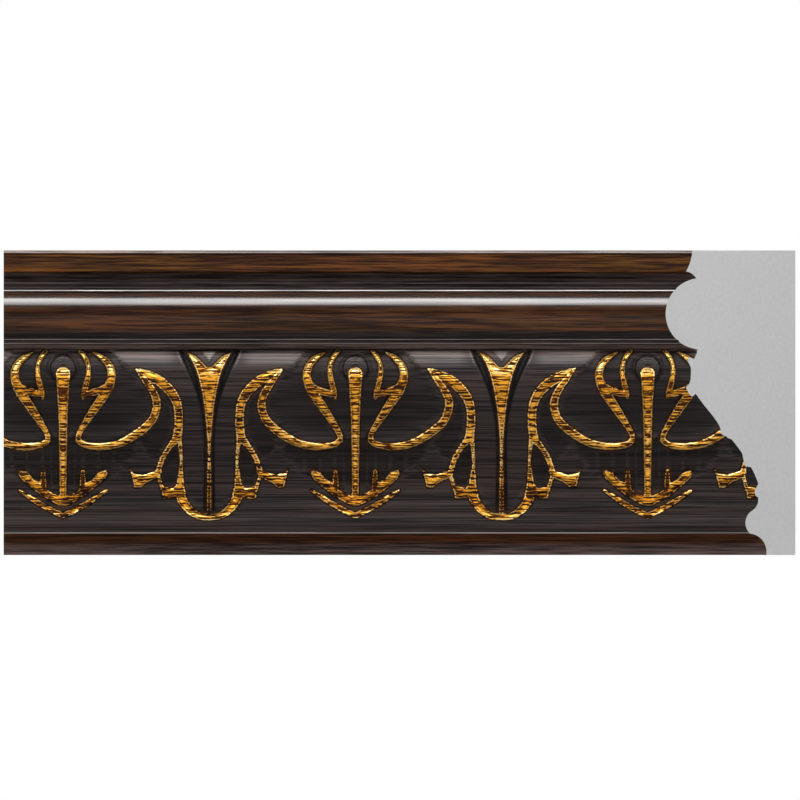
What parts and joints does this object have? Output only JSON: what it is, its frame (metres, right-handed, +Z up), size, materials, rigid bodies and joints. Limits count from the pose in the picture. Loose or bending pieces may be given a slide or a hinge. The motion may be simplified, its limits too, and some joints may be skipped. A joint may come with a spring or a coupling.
{
  "type": "ornamental wall moulding",
  "caption": "Straight length of wall moulding: rolls over a swept band of carved palmettes and darts, dark lacquer with wiped gilding, square at the left end and mitred at the right.",
  "frame": {"origin": "middle of the flat back, in the plane of the wall", "axes": "+X along the length towards the mitred end, +Y into the wall, +Z up, with the face looking along -Y"},
  "size_m": [0.26, 0.0426, 0.1],
  "materials": {
    "lacquer": "dark walnut-brown lacquer, satin, streaked along the length",
    "gilding": "gold paint wiped over the ridges of the carving, streaked along the length",
    "core": "bare pale grey core where the moulding is cut, and at its back"
  },
  "bodies": {
    "root": {"moulding": "lacquer"}
  },
  "joints": []
}
